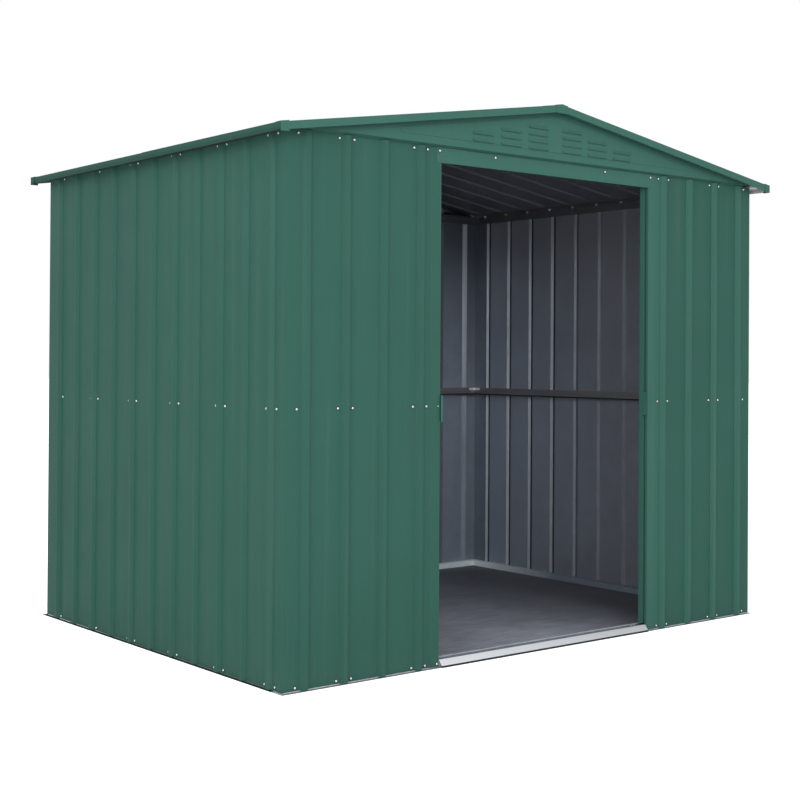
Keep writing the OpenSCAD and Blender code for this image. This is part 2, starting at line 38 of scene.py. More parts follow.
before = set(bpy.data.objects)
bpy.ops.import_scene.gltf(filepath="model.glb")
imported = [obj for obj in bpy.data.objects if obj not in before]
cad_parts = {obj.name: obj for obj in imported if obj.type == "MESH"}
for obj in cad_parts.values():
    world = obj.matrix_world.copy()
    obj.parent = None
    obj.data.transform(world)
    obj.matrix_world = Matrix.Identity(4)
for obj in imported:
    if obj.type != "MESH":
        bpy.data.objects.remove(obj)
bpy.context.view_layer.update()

# Planes and heights read from the frame, in metres
RIB = 0.012
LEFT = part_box("left_wall_panels")[0].x + RIB
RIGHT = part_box("right_wall_panels")[1].x - RIB
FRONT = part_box("front_left_panel")[0].y + RIB
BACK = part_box("back_wall_panels")[1].y - RIB
JAMB_FACE = FRONT - 0.003
HEADER_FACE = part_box("header")[0].y
FASCIA_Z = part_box("left_eave_fascia")[0].z
DOOR_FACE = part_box("left_door_panel")[0].y
DOOR_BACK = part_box("left_door_rails")[1].y
CAP_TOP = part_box("ridge_cap")[1].z

# Lines of the sheets' joints and of the roof
PITCH = 0.305
SIDE_JOINTS = [FRONT + 0.077 + PITCH * k for k in range(6)]
BACK_JOINTS = [PITCH * k for k in range(-3, 4)]
FRONT_JOINTS = (0.6055, 0.9105)
ROOF_JOINTS = [PITCH * k for k in range(-2, 3)]
ROOF_RIBS = [PITCH / 2 * k for k in range(-5, 6)]
ROOF_SLOPE = math.radians(9.1)
RIDGE_Z = 1.9334

# Places of the fixings: rows of wall screws by height, then distances from the middle or from an edge
ROWS = (0.0135, 0.8775, 1.7365)
BACK_END_SCREW = 0.043
FRONT_END_SCREW = 1.097
JAMB_SCREW = 0.527
HEADER_SCREW = 0.275
ROOF_SCREW = 0.62
CAP_SCREW = 0.07
EAVE_BOLT = 1.1245
EAVE_NUT_Z = 1.7492
TRACK_BOLTS = [-1.05 + 0.35 * k for k in range(7)]
TRACK_WALL = -0.8048
TRACK_SCREWS = (0.485, 0.503)
TRACK_SCREW_Z = 0.017
TIE_CORNERS = ((0.020, 1.1088, 0.8199), (0.885, 1.1364, 0.8479))
TIE_SCREW = 0.024
HANGERS = (0.581, 0.976)
HANGER_SCREW = 0.018
HANGER_SCREW_DROP = 0.014
RIVET_PROFILE = ((0.0030, 0), (0.0029, 0.0004), (0.0023, 0.0009), (0.0012, 0.0012))
RIVET_INSET_X, RIVET_INSET_Z = 0.03, 0.02

# Foam fillers at the ends of the gables; beyond TOP_RAIL_X the top rails' flanges lie under the roof
FILLER_X = (0.93, 1.125)
FILLER_Z = (1.7491, 1.7640)
FILLER_STEPS = 13
FILLER_DEPTH = 0.010
FILLER_INSET = 0.0015
FILLER_LEAST = 0.0008
TOP_RAIL_X = 1.10

# Where the tints change: bounds of painted light near the wall tops, on the back wall's rib and on the floor by the
# doorway, and of painted shade in the back right corner and along the side walls
UPPER_WALL = (1.15, 1.5)
BACK_RIB_X = 0.95
BACK_CORNER_Y = 0.75
DOORWAY_HALF = 0.52
DOORWAY_LIGHT_X = (0.1, 0.85)
SIDE_WALL_SHADE = 0.25
OUTWARD = {
    "left": Vector((-1, 0, 0)),
    "right": Vector((1, 0, 0)),
    "front": Vector((0, -1, 0)),
    "back": Vector((0, 1, 0)),
}


# Colours, sizes and stage values that the sidebar shows
def colour(name, description, default):
    return FloatVectorProperty(
        name=name, description=description, subtype="COLOR", size=3, min=0, max=1, default=default)


def length(name, description, default):
    return FloatProperty(
        name=name, description=description, subtype="DISTANCE", unit="LENGTH", min=0, default=default)


def share(name, description, default):
    return FloatProperty(
        name=name, description=description, subtype="FACTOR", min=0, max=1, default=default)


class ShedFinishes(bpy.types.PropertyGroup):
    """Colours and surface of the shed"""
    wall_green: colour("Wall green", "Satin paint on the outside of the walls and doors", (0.0302, 0.0965, 0.0745))
    # Painted light: the trim green is lighter than the wall green, partly to offset the shade under the roof's
    # overhang.
    trim_green_lightened: colour("Trim green", "Satin paint on the gables and trims", (0.041, 0.121, 0.095))
    roof_green: colour("Roof green", "Satin paint on the roof sheets", (0.0302, 0.0965, 0.0745))
    back_coat: colour("Back coat", "Bare metal coat on the inside of the sheets", (0.46, 0.475, 0.53))
    # Painted shade: the inside coat darkens away from the doorway.
    back_far_shade: colour("Dull back coat", "Duller coat far from the doorway", (0.335, 0.373, 0.433))
    # Painted light: the back wall's rib by the right corner takes a lighter tint.
    lit_back_rib: colour("Back rib", "Rib of the back wall that the doorway lights", (0.78, 0.82, 0.89))
    # The back wall's coat darkens from its low tint to its high tint: painted shade under the header.
    rear_low: colour("Rear wall, low", "Bare coat low on the back wall", (0.392, 0.436, 0.507))
    rear_high_shade: colour("Rear wall, high", "Bare coat high on the back wall", (0.211, 0.235, 0.273))
    # Painted shade: a darker copy of the coat on the right wall beside the back right corner.
    corner_shade_coat: colour("Corner coat", "Bare coat beside the back right corner", (0.235, 0.26, 0.30))
    # Painted light: the inside coat lightens near the side walls' tops.
    back_high_light: colour("Bare coat, high", "Bare coat near the side walls' tops", (0.53, 0.55, 0.61))
    # Painted shade and light: the rib flanks inside take a darker copy of the coat, lighter near the wall tops.
    flank_high_light: colour("Flank coat, high", "Rib flanks near the wall tops", (0.36, 0.395, 0.45))
    flank_shade_coat: colour("Flank coat", "Coat on the sides of the ribs, seen from inside", (0.28, 0.31, 0.355))
    # Painted light and shade in the ribs inside: a light tint near the front, nearly black further back as painted
    # shade deep in the grooves.
    groove_lit_front: colour("Groove coat, front", "Bare coat in the ribs near the front", (0.47, 0.50, 0.55))
    groove_shade: colour("Groove coat", "Dull coat deep in the ribs, seen from inside", (0.085, 0.093, 0.107))
    # Painted highlight: a lighter green on the outer ribs right of the doorway.
    lit_rib_green: colour("Rib green", "Paint on the ribs right of the doorway", (0.038, 0.117, 0.091))
    foot_green: colour("Foot green", "Painted flange under the side and back walls", (0.012, 0.038, 0.030))
    # Painted shade: the eave green is darker than the wall green, for the fascias' lower face.
    eave_shaded_green: colour("Eave green", "Paint on the eave fascias", (0.022, 0.070, 0.054))
    # Painted light: a pale tint on the overhang's underside and the fascias' inner faces, partly the coat's own
    # pale back.
    eave_back_lit: colour("Eave back", "Pale coat under the roof's overhang", (0.80, 0.76, 0.77))
    # Painted shade: the roof sheets' underside is darker inside the walls.
    roof_back_shaded: colour("Roof back", "Darker coat on the underside of the roof sheets", (0.24, 0.25, 0.275))
    top_grey: colour("Top rail grey", "Dark top rails and ridge beam", (0.135, 0.133, 0.146))
    rail_grey: colour("Rail grey", "Dark steel of the middle rails and screw tips", (0.205, 0.202, 0.222))
    zinc: colour("Zinc", "Galvanised tracks and door rails", (0.74, 0.79, 0.86))
    # Painted reflection: the base rails' zinc is near white towards the back, where the doorway's light glints on
    # it.
    base_zinc_glint: colour("Base zinc", "Bright zinc of the base rails", (0.86, 0.97, 1.0))
    # Painted shade: the base rails darken towards the front.
    base_front_shade: colour("Dull base zinc", "Base rails near the front", (0.20, 0.237, 0.29))
    # The corner brackets' zinc is near white, partly as a painted highlight.
    tie_zinc_and_glint: colour("Tie zinc", "Fresh zinc of the corner brackets", (0.93, 0.94, 0.95))
    # Painted shade: the floor track's inner faces are dark below the upper edge.
    track_shade_grey: colour("Track grey", "Dull zinc inside the floor track", (0.27, 0.295, 0.335))
    # The upper edge keeps a plain zinc tint above the painted shade.
    track_lip: colour("Track lip", "Worn upper edge of the floor track", (0.62, 0.66, 0.71))
    flange_zinc: colour("Flange zinc", "Flange that shows under the front sheets", (0.20, 0.21, 0.23))
    sill_metal: colour("Sill metal", "Bright metal of the sill ramp", (0.64, 0.665, 0.70))
    floor_grey: colour("Floor grey", "Steel floor inside", (0.33, 0.349, 0.41))
    nylon: colour("Nylon", "Door hangers and guides", (0.022, 0.022, 0.024))
    # Black of the sealing washers and fillers, also used for painted shadow lines along the fascias' bottom edge,
    # the middle rails' lower edge and the sill.
    rubber_and_shadow: colour("Rubber", "Sealing washers, fillers and dark edges", (0.018, 0.022, 0.020))
    screw_metal: colour("Screw metal", "Plated screw heads", (0.90, 0.91, 0.92))
    dust: colour("Dust", "Dry soil splashed up from the ground", (0.22, 0.20, 0.165))
    # Painted shadow: the middle rails' lower edge is black below this height.
    rail_shadow_top: length("Rail seam", "Height under which the middle rails' lower edge is black", 0.8640)
    dust_height: length("Dust height", "Height that soil splashes reach", 0.12)
    streaks: share("Rain streaks", "Strength of the rain marks on the walls", 0.05)
    drift: share("Tone drift", "How far the paint's tone wanders over a sheet", 0.05)


class ShedFixings(bpy.types.PropertyGroup):
    """Sizes of the screws and bolts"""
    head_d: length("Head diameter", "Width of a sheet screw's head", 0.0080)
    head_h: length("Head height", "Height of a sheet screw's head", 0.0022)
    washer_d: length("Washer diameter", "Width of a sealing washer", 0.0132)
    washer_t: length("Washer thickness", "Thickness of a sealing washer", 0.0008)
    pair_gap: length("Pair gap", "Distance of a screw from its joint rib's middle", 0.029)
    pair_shift: length("Pair shift", "How far the side walls' pairs stand towards the front", 0.003)
    tip_d: length("Screw tip diameter", "Width of the threaded tip inside", 0.0040)
    tip_l: length("Screw tip length", "Length of the tip behind the sheet", 0.0085)
    bolt_af: length("Bolt width", "Width across the flats of bolts and nuts", 0.010)
    thread_turns: IntProperty(
        name="Thread turns", description="Rings drawn on a screw tip", min=2, max=8, default=4)


class ShedStage(bpy.types.PropertyGroup):
    """Camera, light and floor round the shed"""
    eye: FloatVectorProperty(
        name="Camera place", description="Place of the camera", subtype="XYZ", unit="LENGTH", size=3,
        default=(-3.55704, -4.47902, 1.03867))
    turn: FloatVectorProperty(
        name="Camera turn", description="Heading from +Y towards +X, tilt and roll", subtype="EULER", size=3,
        default=(math.radians(39.383), math.radians(0.445), math.radians(0.344)))
    lens: FloatProperty(
        name="Lens", description="Focal length on a 36 mm sensor", subtype="DISTANCE_CAMERA", default=63.277)
    shift: FloatVectorProperty(
        name="Lens shift", description="Shift of the picture's middle", size=2, default=(-0.0323, -0.0660))
    zenith: FloatProperty(name="Zenith", description="Strength of the light from overhead", min=0, default=1.0)
    horizon: FloatProperty(name="Horizon", description="Strength of the light from the sides", min=0, default=0.85)
    key: FloatProperty(name="Key light", description="Power of the front light", unit="POWER", min=0, default=235)
    slant: FloatProperty(
        name="Slant light", description="Power of the light from the front left", unit="POWER", min=0, default=200)
    back: FloatProperty(
        name="Back light", description="Power of the light from behind", unit="POWER", min=0, default=108)
    side: FloatProperty(
        name="Side light", description="Power of the light from the left", unit="POWER", min=0, default=20)
    floor_glow: share("Floor glow", "White that the camera sees on the floor apart from its light", 0.72)
    floor_white: colour("Floor white", "Plain pale floor", (0.85, 0.85, 0.85))


# Shader nodes, shared groups and finishes
def feed(tree, socket, value):
    """Links an output to a socket, or sets the socket's own value."""
    if isinstance(value, bpy.types.NodeSocket):
        tree.links.new(value, socket)
    elif socket.type == "RGBA" and len(value) == 3:
        socket.default_value = (*value, 1)
    else:
        socket.default_value = value


def put(tree, kind, settings=None, **inputs):
    """Adds a node with its settings and inputs; an underscore in an input's name stands for a space."""
    made = tree.nodes.new(kind)
    made.location = (190 * (len(tree.nodes) % 9), -230 * (len(tree.nodes) // 9))
    for key, value in (settings or {}).items():
        setattr(made, key, value)
    for key, value in inputs.items():
        feed(tree, made.inputs[key.replace("_", " ")], value)
    return made


def mixed(tree, factor, a, b, mode="MIX"):
    """Goes from colour a to colour b as the factor goes from 0 to 1."""
    made = put(tree, "ShaderNodeMix", {"data_type": "RGBA", "blend_type": mode})
    for index, value in ((0, factor), (6, a), (7, b)):
        feed(tree, made.inputs[index], value)
    return made.outputs[2]


def maths(tree, operation, *values):
    made = put(tree, "ShaderNodeMath", {"operation": operation})
    for socket, value in zip(made.inputs, values):
        feed(tree, socket, value)
    return made.outputs[0]


def remap(tree, value, low, high, to_low, to_high, smooth=False):
    """Carries the range low to high over to another, held at its ends."""
    made = put(
        tree, "ShaderNodeMapRange", {"interpolation_type": "SMOOTHSTEP" if smooth else "LINEAR"},
        Value=value, From_Min=low, From_Max=high, To_Min=to_low, To_Max=to_high)
    return made.outputs["Result"]


def noise(tree, scale, detail=2.0, rough=0.5, vector=None):
    made = put(tree, "ShaderNodeTexNoise", None, Scale=scale, Detail=detail, Roughness=rough)
    if vector is not None:
        feed(tree, made.inputs["Vector"], vector)
    return made.outputs["Fac"]


def stretched(tree, scale):
    """Object coordinates scaled by axis, for marks that run one way."""
    place = put(tree, "ShaderNodeTexCoord").outputs["Object"]
    return put(tree, "ShaderNodeMapping", None, Vector=place, Scale=scale).outputs["Vector"]


def along(tree, axis, low, high, size=False):
    """Goes from 0 to 1 along an axis of the object; size measures from the middle to both sides."""
    place = put(tree, "ShaderNodeTexCoord").outputs["Object"]
    reach = put(tree, "ShaderNodeSeparateXYZ", None, Vector=place).outputs[axis]
    return remap(tree, maths(tree, "ABSOLUTE", reach) if size else reach, low, high, 0, 1)


def start_group(name, inputs, outputs):
    """A shader group with named sockets, and its input and output nodes."""
    tree = bpy.data.node_groups.new(name, "ShaderNodeTree")
    for label, kind, default in inputs:
        socket = tree.interface.new_socket(name=label, in_out="INPUT", socket_type=kind)
        socket.default_value = default
    for label, kind in outputs:
        tree.interface.new_socket(name=label, in_out="OUTPUT", socket_type=kind)
    return tree, put(tree, "NodeGroupInput").outputs, put(tree, "NodeGroupOutput").inputs


FLOAT, TINT, ARROW = "NodeSocketFloat", "NodeSocketColor", "NodeSocketVector"


def weathering_group():
    """Tone drift, rain streaks and soil splash over a base colour."""
    tree, given, out = start_group(
        "Weathering",
        [("Color", TINT, (1, 1, 1, 1)), ("Dust Color", TINT, (0.3, 0.27, 0.2, 1)), ("Drift", FLOAT, 0.05),
         ("Streaks", FLOAT, 0.05), ("Dust", FLOAT, 0.3), ("Dust Height", FLOAT, 0.12)],
        [("Color", TINT), ("Dirt", FLOAT)])
    place = put(tree, "ShaderNodeTexCoord").outputs["Object"]
    height = put(tree, "ShaderNodeSeparateXYZ", None, Vector=place).outputs["Z"]
    wander = remap(tree, noise(tree, 1.7, 3.0, 0.55, place), 0.25, 0.75, -1, 1)
    toned = put(
        tree, "ShaderNodeHueSaturation", None, Color=given["Color"],
        Value=maths(tree, "MULTIPLY_ADD", wander, given["Drift"], 1.0))
    runs = noise(tree, 1.0, 4.0, 0.6, stretched(tree, (34, 34, 0.8)))
    runs = maths(tree, "MULTIPLY", remap(tree, runs, 0.50, 0.74, 0, 1, True), given["Streaks"])
    streaked = mixed(tree, runs, toned.outputs["Color"], given["Dust Color"])
    rise = maths(tree, "DIVIDE", height, given["Dust Height"])
    splash = remap(tree, rise, 0, 1, 1, 0, True)
    speck = remap(tree, noise(tree, 55, 5.0, 0.65, place), 0.36, 0.70, 0, 1)
    splash = maths(tree, "MULTIPLY", maths(tree, "MULTIPLY", splash, speck), given["Dust"])
    feed(tree, out["Color"], mixed(tree, splash, streaked, given["Dust Color"]))
    feed(tree, out["Dirt"], maths(tree, "ADD", runs, splash))
    return tree


def paint_skin_group():
    """Fine orange peel of sprayed paint, and the slow waviness of thin sheet."""
    tree, given, out = start_group(
        "Paint Skin",
        [("Grain", FLOAT, 420.0), ("Wave", FLOAT, 0.5)],
        [("Height", FLOAT), ("Gloss Drift", FLOAT)])
    place = put(tree, "ShaderNodeTexCoord").outputs["Object"]
    peel = noise(tree, given["Grain"], 2.0, 0.5, place)
    wave = noise(tree, 1.0, 1.0, 0.4, stretched(tree, (9, 9, 2.2)))
    feed(tree, out["Height"], maths(tree, "ADD", maths(tree, "MULTIPLY", peel, 0.12),
                                    maths(tree, "MULTIPLY", wave, given["Wave"])))
    feed(tree, out["Gloss Drift"], remap(tree, noise(tree, 6.0, 4.0, 0.6, place), 0.3, 0.7, -0.06, 0.06))
    return tree


def spangle_group():
    """Crystal pattern of hot-dip zinc."""
    tree, given, out = start_group(
        "Zinc Spangle",
        [("Color", TINT, (1, 1, 1, 1)), ("Crystal Scale", FLOAT, 110.0), ("Contrast", FLOAT, 0.2)],
        [("Color", TINT), ("Gloss Drift", FLOAT), ("Height", FLOAT)])
    place = put(tree, "ShaderNodeTexCoord").outputs["Object"]
    cell = put(tree, "ShaderNodeTexVoronoi", None, Vector=place, Scale=given["Crystal Scale"])
    tone = put(tree, "ShaderNodeSeparateColor", None, Color=cell.outputs["Color"]).outputs["Red"]
    cloud = noise(tree, 14.0, 4.0, 0.6, place)
    value = maths(tree, "MULTIPLY_ADD", maths(tree, "SUBTRACT", tone, 0.5), given["Contrast"], 1.0)
    value = maths(tree, "MULTIPLY", value, remap(tree, cloud, 0.3, 0.7, 0.93, 1.05))
    feed(tree, out["Color"], put(
        tree, "ShaderNodeHueSaturation", None, Color=given["Color"], Value=value).outputs["Color"])
    feed(tree, out["Gloss Drift"], remap(tree, tone, 0, 1, -0.08, 0.08))
    feed(tree, out["Height"], maths(tree, "MULTIPLY", tone, 0.4))
    return tree


def brush_group():
    """Lines left by rolling or brushing, along the direction with the small scale."""
    tree, given, out = start_group(
        "Rolled Lines",
        [("Direction", ARROW, (1, 400, 400))],
        [("Lines", FLOAT), ("Cloud", FLOAT)])
    place = put(tree, "ShaderNodeTexCoord").outputs["Object"]
    run = put(tree, "ShaderNodeVectorMath", {"operation": "MULTIPLY"})
    feed(tree, run.inputs[0], place)
    feed(tree, run.inputs[1], given["Direction"])
    feed(tree, out["Lines"], noise(tree, 1.0, 5.0, 0.62, run.outputs[0]))
    feed(tree, out["Cloud"], noise(tree, 4.0, 4.0, 0.6, place))
    return tree


def scuff_group():
    """Sparse light scratches from use."""
    tree, given, out = start_group(
        "Scuffs", [("Amount", FLOAT, 0.2), ("Scale", FLOAT, 22.0)], [("Mask", FLOAT)])
    place = put(tree, "ShaderNodeTexCoord").outputs["Object"]
    bent = put(tree, "ShaderNodeVectorMath", {"operation": "ADD"})
    feed(tree, bent.inputs[0], place)
    feed(tree, bent.inputs[1], put(
        tree, "ShaderNodeTexNoise", None, Vector=place, Scale=3.0, Detail=2.0).outputs["Color"])
    cell = put(
        tree, "ShaderNodeTexVoronoi", {"feature": "DISTANCE_TO_EDGE"}, Vector=bent.outputs[0], Scale=given["Scale"])
    line = remap(tree, cell.outputs["Distance"], 0.0, 0.012, 1, 0)
    patch = remap(tree, noise(tree, 5.0, 3.0, 0.5, place), 0.55, 0.7, 0, 1)
    feed(tree, out["Mask"], maths(tree, "MULTIPLY", maths(tree, "MULTIPLY", line, patch), given["Amount"]))
    return tree


GROUPS = {}
FINISH = {}


def use(tree, group, **inputs):
    """Adds a shared group and gives its outputs."""
    return put(tree, "ShaderNodeGroup", {"node_tree": GROUPS[group]}, **inputs).outputs


def start_finish(name):
    """A material with a Principled BSDF, kept by name for the pieces."""
    made = bpy.data.materials.new(name)
    made.use_nodes = True
    tree = made.node_tree
    shader = tree.nodes["Principled BSDF"]
    FINISH[name] = made
    return tree, shader


def bump(tree, height, strength, distance):
    return put(tree, "ShaderNodeBump", None, Height=height, Strength=strength, Distance=distance).outputs["Normal"]


def paint(name, tint, look, rough, dust, streaks, specular, wave=0.5):
    """Sprayed satin paint on sheet steel."""
    tree, shader = start_finish(name)
    aged = use(
        tree, "Weathering", Color=tint, Dust_Color=look.dust, Drift=look.drift, Streaks=streaks, Dust=dust,
        Dust_Height=look.dust_height)
    skin = use(tree, "Paint Skin", Grain=420.0, Wave=wave)
    gloss = maths(tree, "ADD", skin["Gloss Drift"], rough)
    feed(tree, shader.inputs["Base Color"], aged["Color"])
    feed(tree, shader.inputs["Roughness"], maths(tree, "ADD", gloss, maths(tree, "MULTIPLY", aged["Dirt"], 0.4)))
    feed(tree, shader.inputs["Normal"], bump(tree, skin["Height"], 0.25, 0.002))
    shader.inputs["Specular IOR Level"].default_value = specular


def shaded_eave_paint(name, look):
    """Paint of the eave fascias with painted shade: darker below the pressed fold, lighter above it, and a painted
    black shadow line along the bottom edge.
    """
    paint(name, look.eave_shaded_green, look, rough=0.5, dust=0.0, streaks=look.streaks, specular=0.05, wave=0.2)
    tree = FINISH[name].node_tree
    shader = tree.nodes["Principled BSDF"]
    base = shader.inputs["Base Color"].links[0].from_socket
    light = [0.82 * c for c in look.wall_green]
    top = mixed(tree, along(tree, "Z", FASCIA_Z + 0.013, FASCIA_Z + 0.016), base, light)
    # Painted shadow: black along the bottom edge.
    hem_shadow = mixed(tree, along(tree, "Z", FASCIA_Z + 0.0028, FASCIA_Z + 0.0036), look.rubber_and_shadow, top)
    feed(tree, shader.inputs["Base Color"], hem_shadow)


def bare_sheet(name, tint, look, metallic=0.8, other=None, axis="Z", low=0.0, high=1.0, upper=None):
    """Bare coated steel inside the sheets, which may change tint along an axis and near the wall top; these changes
    are painted light and shade.
    """
    tree, shader = start_finish(name)
    aged = use(
        tree, "Weathering", Color=tint, Dust_Color=look.dust, Drift=look.drift, Streaks=look.streaks * 0.5,
        Dust=0.05, Dust_Height=look.dust_height)
    coat = use(tree, "Zinc Spangle", Color=aged["Color"], Crystal_Scale=240.0, Contrast=0.05)
    skin = use(tree, "Paint Skin", Grain=520.0, Wave=0.5)
    base = coat["Color"]
    if other:
        base = mixed(tree, along(tree, axis, low, high, axis == "X"), base, other)
    if upper:
        base = mixed(tree, along(tree, "Z", *UPPER_WALL), base, upper)
    feed(tree, shader.inputs["Base Color"], base)
    feed(tree, shader.inputs["Roughness"], maths(tree, "ADD", skin["Gloss Drift"], 0.44))
    feed(tree, shader.inputs["Normal"], bump(tree, skin["Height"], 0.2, 0.002))
    shader.inputs["Metallic"].default_value = metallic


def rail_steel(name, tint, look):
    """Dark rolled rail with faint lines and scuffs."""
    tree, shader = start_finish(name)
    lines = use(tree, "Rolled Lines", Direction=(3, 3, 260))
    scuff = use(tree, "Scuffs", Amount=0.06, Scale=22.0)
    toned = put(
        tree, "ShaderNodeHueSaturation", None, Color=tint, Value=remap(tree, lines["Lines"], 0.3, 0.7, 0.86, 1.12))
    worn = mixed(tree, scuff["Mask"], toned.outputs["Color"], look.zinc)
    # Below the seam height the rail is painted black as the shadow under its lip.
    above = along(tree, "Z", look.rail_shadow_top - 0.0004, look.rail_shadow_top + 0.0004)
    feed(tree, shader.inputs["Base Color"], mixed(tree, above, look.rubber_and_shadow, worn))
    feed(tree, shader.inputs["Roughness"], remap(tree, lines["Cloud"], 0.3, 0.7, 0.42, 0.60))
    feed(tree, shader.inputs["Normal"], bump(tree, lines["Lines"], 0.12, 0.001))
    shader.inputs["Metallic"].default_value = 0.25


def galvanised(
        name, tint, scale, rough, metallic=0.8, contrast=0.22, shade_tint=None, axis="Y", low=0.25, high=0.75):
    """Galvanised steel with its crystal pattern, which may start from a darker tint along an axis as painted shade.
    """
    tree, shader = start_finish(name)
    if shade_tint:
        tint = mixed(tree, along(tree, axis, low, high), shade_tint, tint)
    coat = use(tree, "Zinc Spangle", Color=tint, Crystal_Scale=scale, Contrast=contrast)
    feed(tree, shader.inputs["Base Color"], coat["Color"])
    feed(tree, shader.inputs["Roughness"], maths(tree, "ADD", coat["Gloss Drift"], rough))
    feed(tree, shader.inputs["Normal"], bump(tree, coat["Height"], contrast * 0.45, 0.0006))
    shader.inputs["Metallic"].default_value = metallic


def rolled_metal(
        name, tint, look, direction, metallic, rough, contrast, dust, doorway_light=0.0, shadow_edge=0.0, lean=0.0):
    """Bare rolled metal with lines along one direction.

    Doorway light lightens it towards the doorway and darkens it towards the side walls, as painted light and shade;
    lean lightens its left end; shadow edge is the height under which a painted black shadow line runs.
    """
    tree, shader = start_finish(name)
    lines = use(tree, "Rolled Lines", Direction=direction)
    value = maths(tree, "MULTIPLY", remap(tree, lines["Lines"], 0.28, 0.72, 1 - contrast, 1 + contrast),
                  remap(tree, lines["Cloud"], 0.3, 0.7, 1 - contrast / 2, 1 + contrast / 2))
    # Painted light by the doorway and painted shade along the side walls.
    if doorway_light:
        inward = remap(tree, along(tree, "Y", FRONT, BACK), 0, 1, 1 + doorway_light, 1 - doorway_light)
        across = remap(tree, along(tree, "X", *DOORWAY_LIGHT_X, True), 0, 1, 1, SIDE_WALL_SHADE)
        value = maths(tree, "MULTIPLY", value, maths(tree, "MULTIPLY", inward, across))
    if lean:
        sideways = remap(tree, along(tree, "X", -DOORWAY_HALF, DOORWAY_HALF), 0, 1, 1 + lean, 1 - lean)
        value = maths(tree, "MULTIPLY", value, sideways)
    toned = put(tree, "ShaderNodeHueSaturation", None, Color=tint, Value=value)
    soil = maths(tree, "MULTIPLY", remap(tree, lines["Cloud"], 0.45, 0.7, 0, 1), dust)
    base = mixed(tree, soil, toned.outputs["Color"], look.dust)
    # Painted shadow: black below the given height.
    if shadow_edge:
        base = mixed(tree, along(tree, "Z", shadow_edge - 0.0003, shadow_edge + 0.0003), look.rubber_and_shadow, base)
    feed(tree, shader.inputs["Base Color"], base)
    feed(tree, shader.inputs["Roughness"], remap(tree, lines["Lines"], 0.3, 0.7, rough - 0.08, rough + 0.10))
    feed(tree, shader.inputs["Normal"], bump(tree, lines["Lines"], 0.15, 0.001))
    shader.inputs["Metallic"].default_value = metallic


def moulded(name, tint, rough):
    """Moulded nylon, or the black of washers and fillers, with a fine grain; that black also serves as painted
    shadow.
    """
    tree, shader = start_finish(name)
    skin = use(tree, "Paint Skin", Grain=1600.0, Wave=0.1)
    toned = put(
        tree, "ShaderNodeHueSaturation", None, Color=tint, Value=remap(tree, skin["Height"], 0.02, 0.2, 0.85, 1.2))
    feed(tree, shader.inputs["Base Color"], toned.outputs["Color"])
    feed(tree, shader.inputs["Roughness"], maths(tree, "ADD", skin["Gloss Drift"], rough))
    feed(tree, shader.inputs["Normal"], bump(tree, skin["Height"], 0.3, 0.0008))


# Finishes on the faces of the frame's nodes
def dress(node, finishes, pick=None):
    """Gives a frame node its finishes; pick(centre, normal) is the number of the one that a face takes."""
    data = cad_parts[node].data
    data.materials.clear()
    for name in finishes:
        data.materials.append(FINISH[name])
    for face in data.polygons:
        face.use_smooth = False
        face.material_index = int(pick(face.center, face.normal)) if pick else 0


SHEET_FINISHES = (
    "wall_paint", "back_coat", "groove_shade", "flank_shade_coat", "lit_rib_paint", "lit_back_rib", "rear_coat_shaded_top", "corner_shade_coat")


def sheet_finish(centre, normal, out):
    """Finish of a wall face: paint outside, with a painted highlight on the ribs right of the doorway, and inside a
    coat for each of ribs, rib flanks and pans, in tints of painted light and shade.
    """
    facing = normal.dot(OUTWARD[out])
    depth = {
        "left": LEFT - centre.x, "right": centre.x - RIGHT,
        "front": FRONT - centre.y, "back": centre.y - BACK}
    in_rib = depth[out] > RIB / 4
    on_flank = facing > -0.9
    # Outside: paint, lighter on the ribs right of the doorway as a painted highlight.
    if facing > -0.05:
        return "lit_rib_paint" if out == "front" and centre.x > 0 and in_rib else "wall_paint"
    # Painted light on the back wall's rib near the right corner.
    if out == "back" and centre.x > BACK_RIB_X and (on_flank or in_rib):
        return "lit_back_rib"
    # Rib flanks inside: darker copy of the coat, painted shade.
    if on_flank:
        return "flank_shade_coat"
    # Inside the ribs: painted shade.
    if in_rib:
        return "groove_shade"
    # Back wall pans: coat with painted shade towards the top.
    if out == "back":
        return "rear_coat_shaded_top"
    # Right wall by the back corner: darker coat, painted shade.
    return "corner_shade_coat" if out == "right" and centre.y > BACK_CORNER_Y else "back_coat"


def outside_of(out):
    """Picks the finish of a flat wall's faces."""
    return lambda centre, normal: SHEET_FINISHES.index(sheet_finish(centre, normal, out))


def corner_side(side, end):
    """Picks the finish of a corner sheet's faces, by the leg that each lies on."""
    def pick(centre, normal):
        on_side = abs(centre.x) > abs(LEFT) - 0.0015
        return SHEET_FINISHES.index(sheet_finish(centre, normal, side if on_side else end))
    return pick


def beyond_walls(centre, normal):
    """Second finish for the flange that shows outside the walls."""
    return centre.x < LEFT or centre.x > RIGHT or centre.y > BACK


def track_face(centre, normal):
    """Finishes of the floor track: darker inside below a lighter upper edge as painted shade, and darker on the
    flange before the walls.
    """
    if centre.y < FRONT:
        return 2
    return centre.y > FRONT + 0.008 and normal.z < 0.5


def underside(centre, normal):
    """Second finish for faces that look down."""
    return normal.z <= -0.05


def faces_in(centre, normal):
    """Second finish for the inner side of what stands at the front."""
    return normal.y > 0.5


# Screws, bolts and other small hardware
GOLDEN_TURN = 2.399963
SCREW_FINISHES = ("screw_plating", "rubber_and_painted_shadow", "rail_steel")


def basis(at, out, spin=0.0):
    """Matrix whose Z points out of the surface at a place."""
    turn = Vector((0, 0, 1)).rotation_difference(Vector(out)).to_matrix().to_4x4()
    return Matrix.Translation(Vector(at)) @ turn @ Matrix.Rotation(spin, 4, "Z")


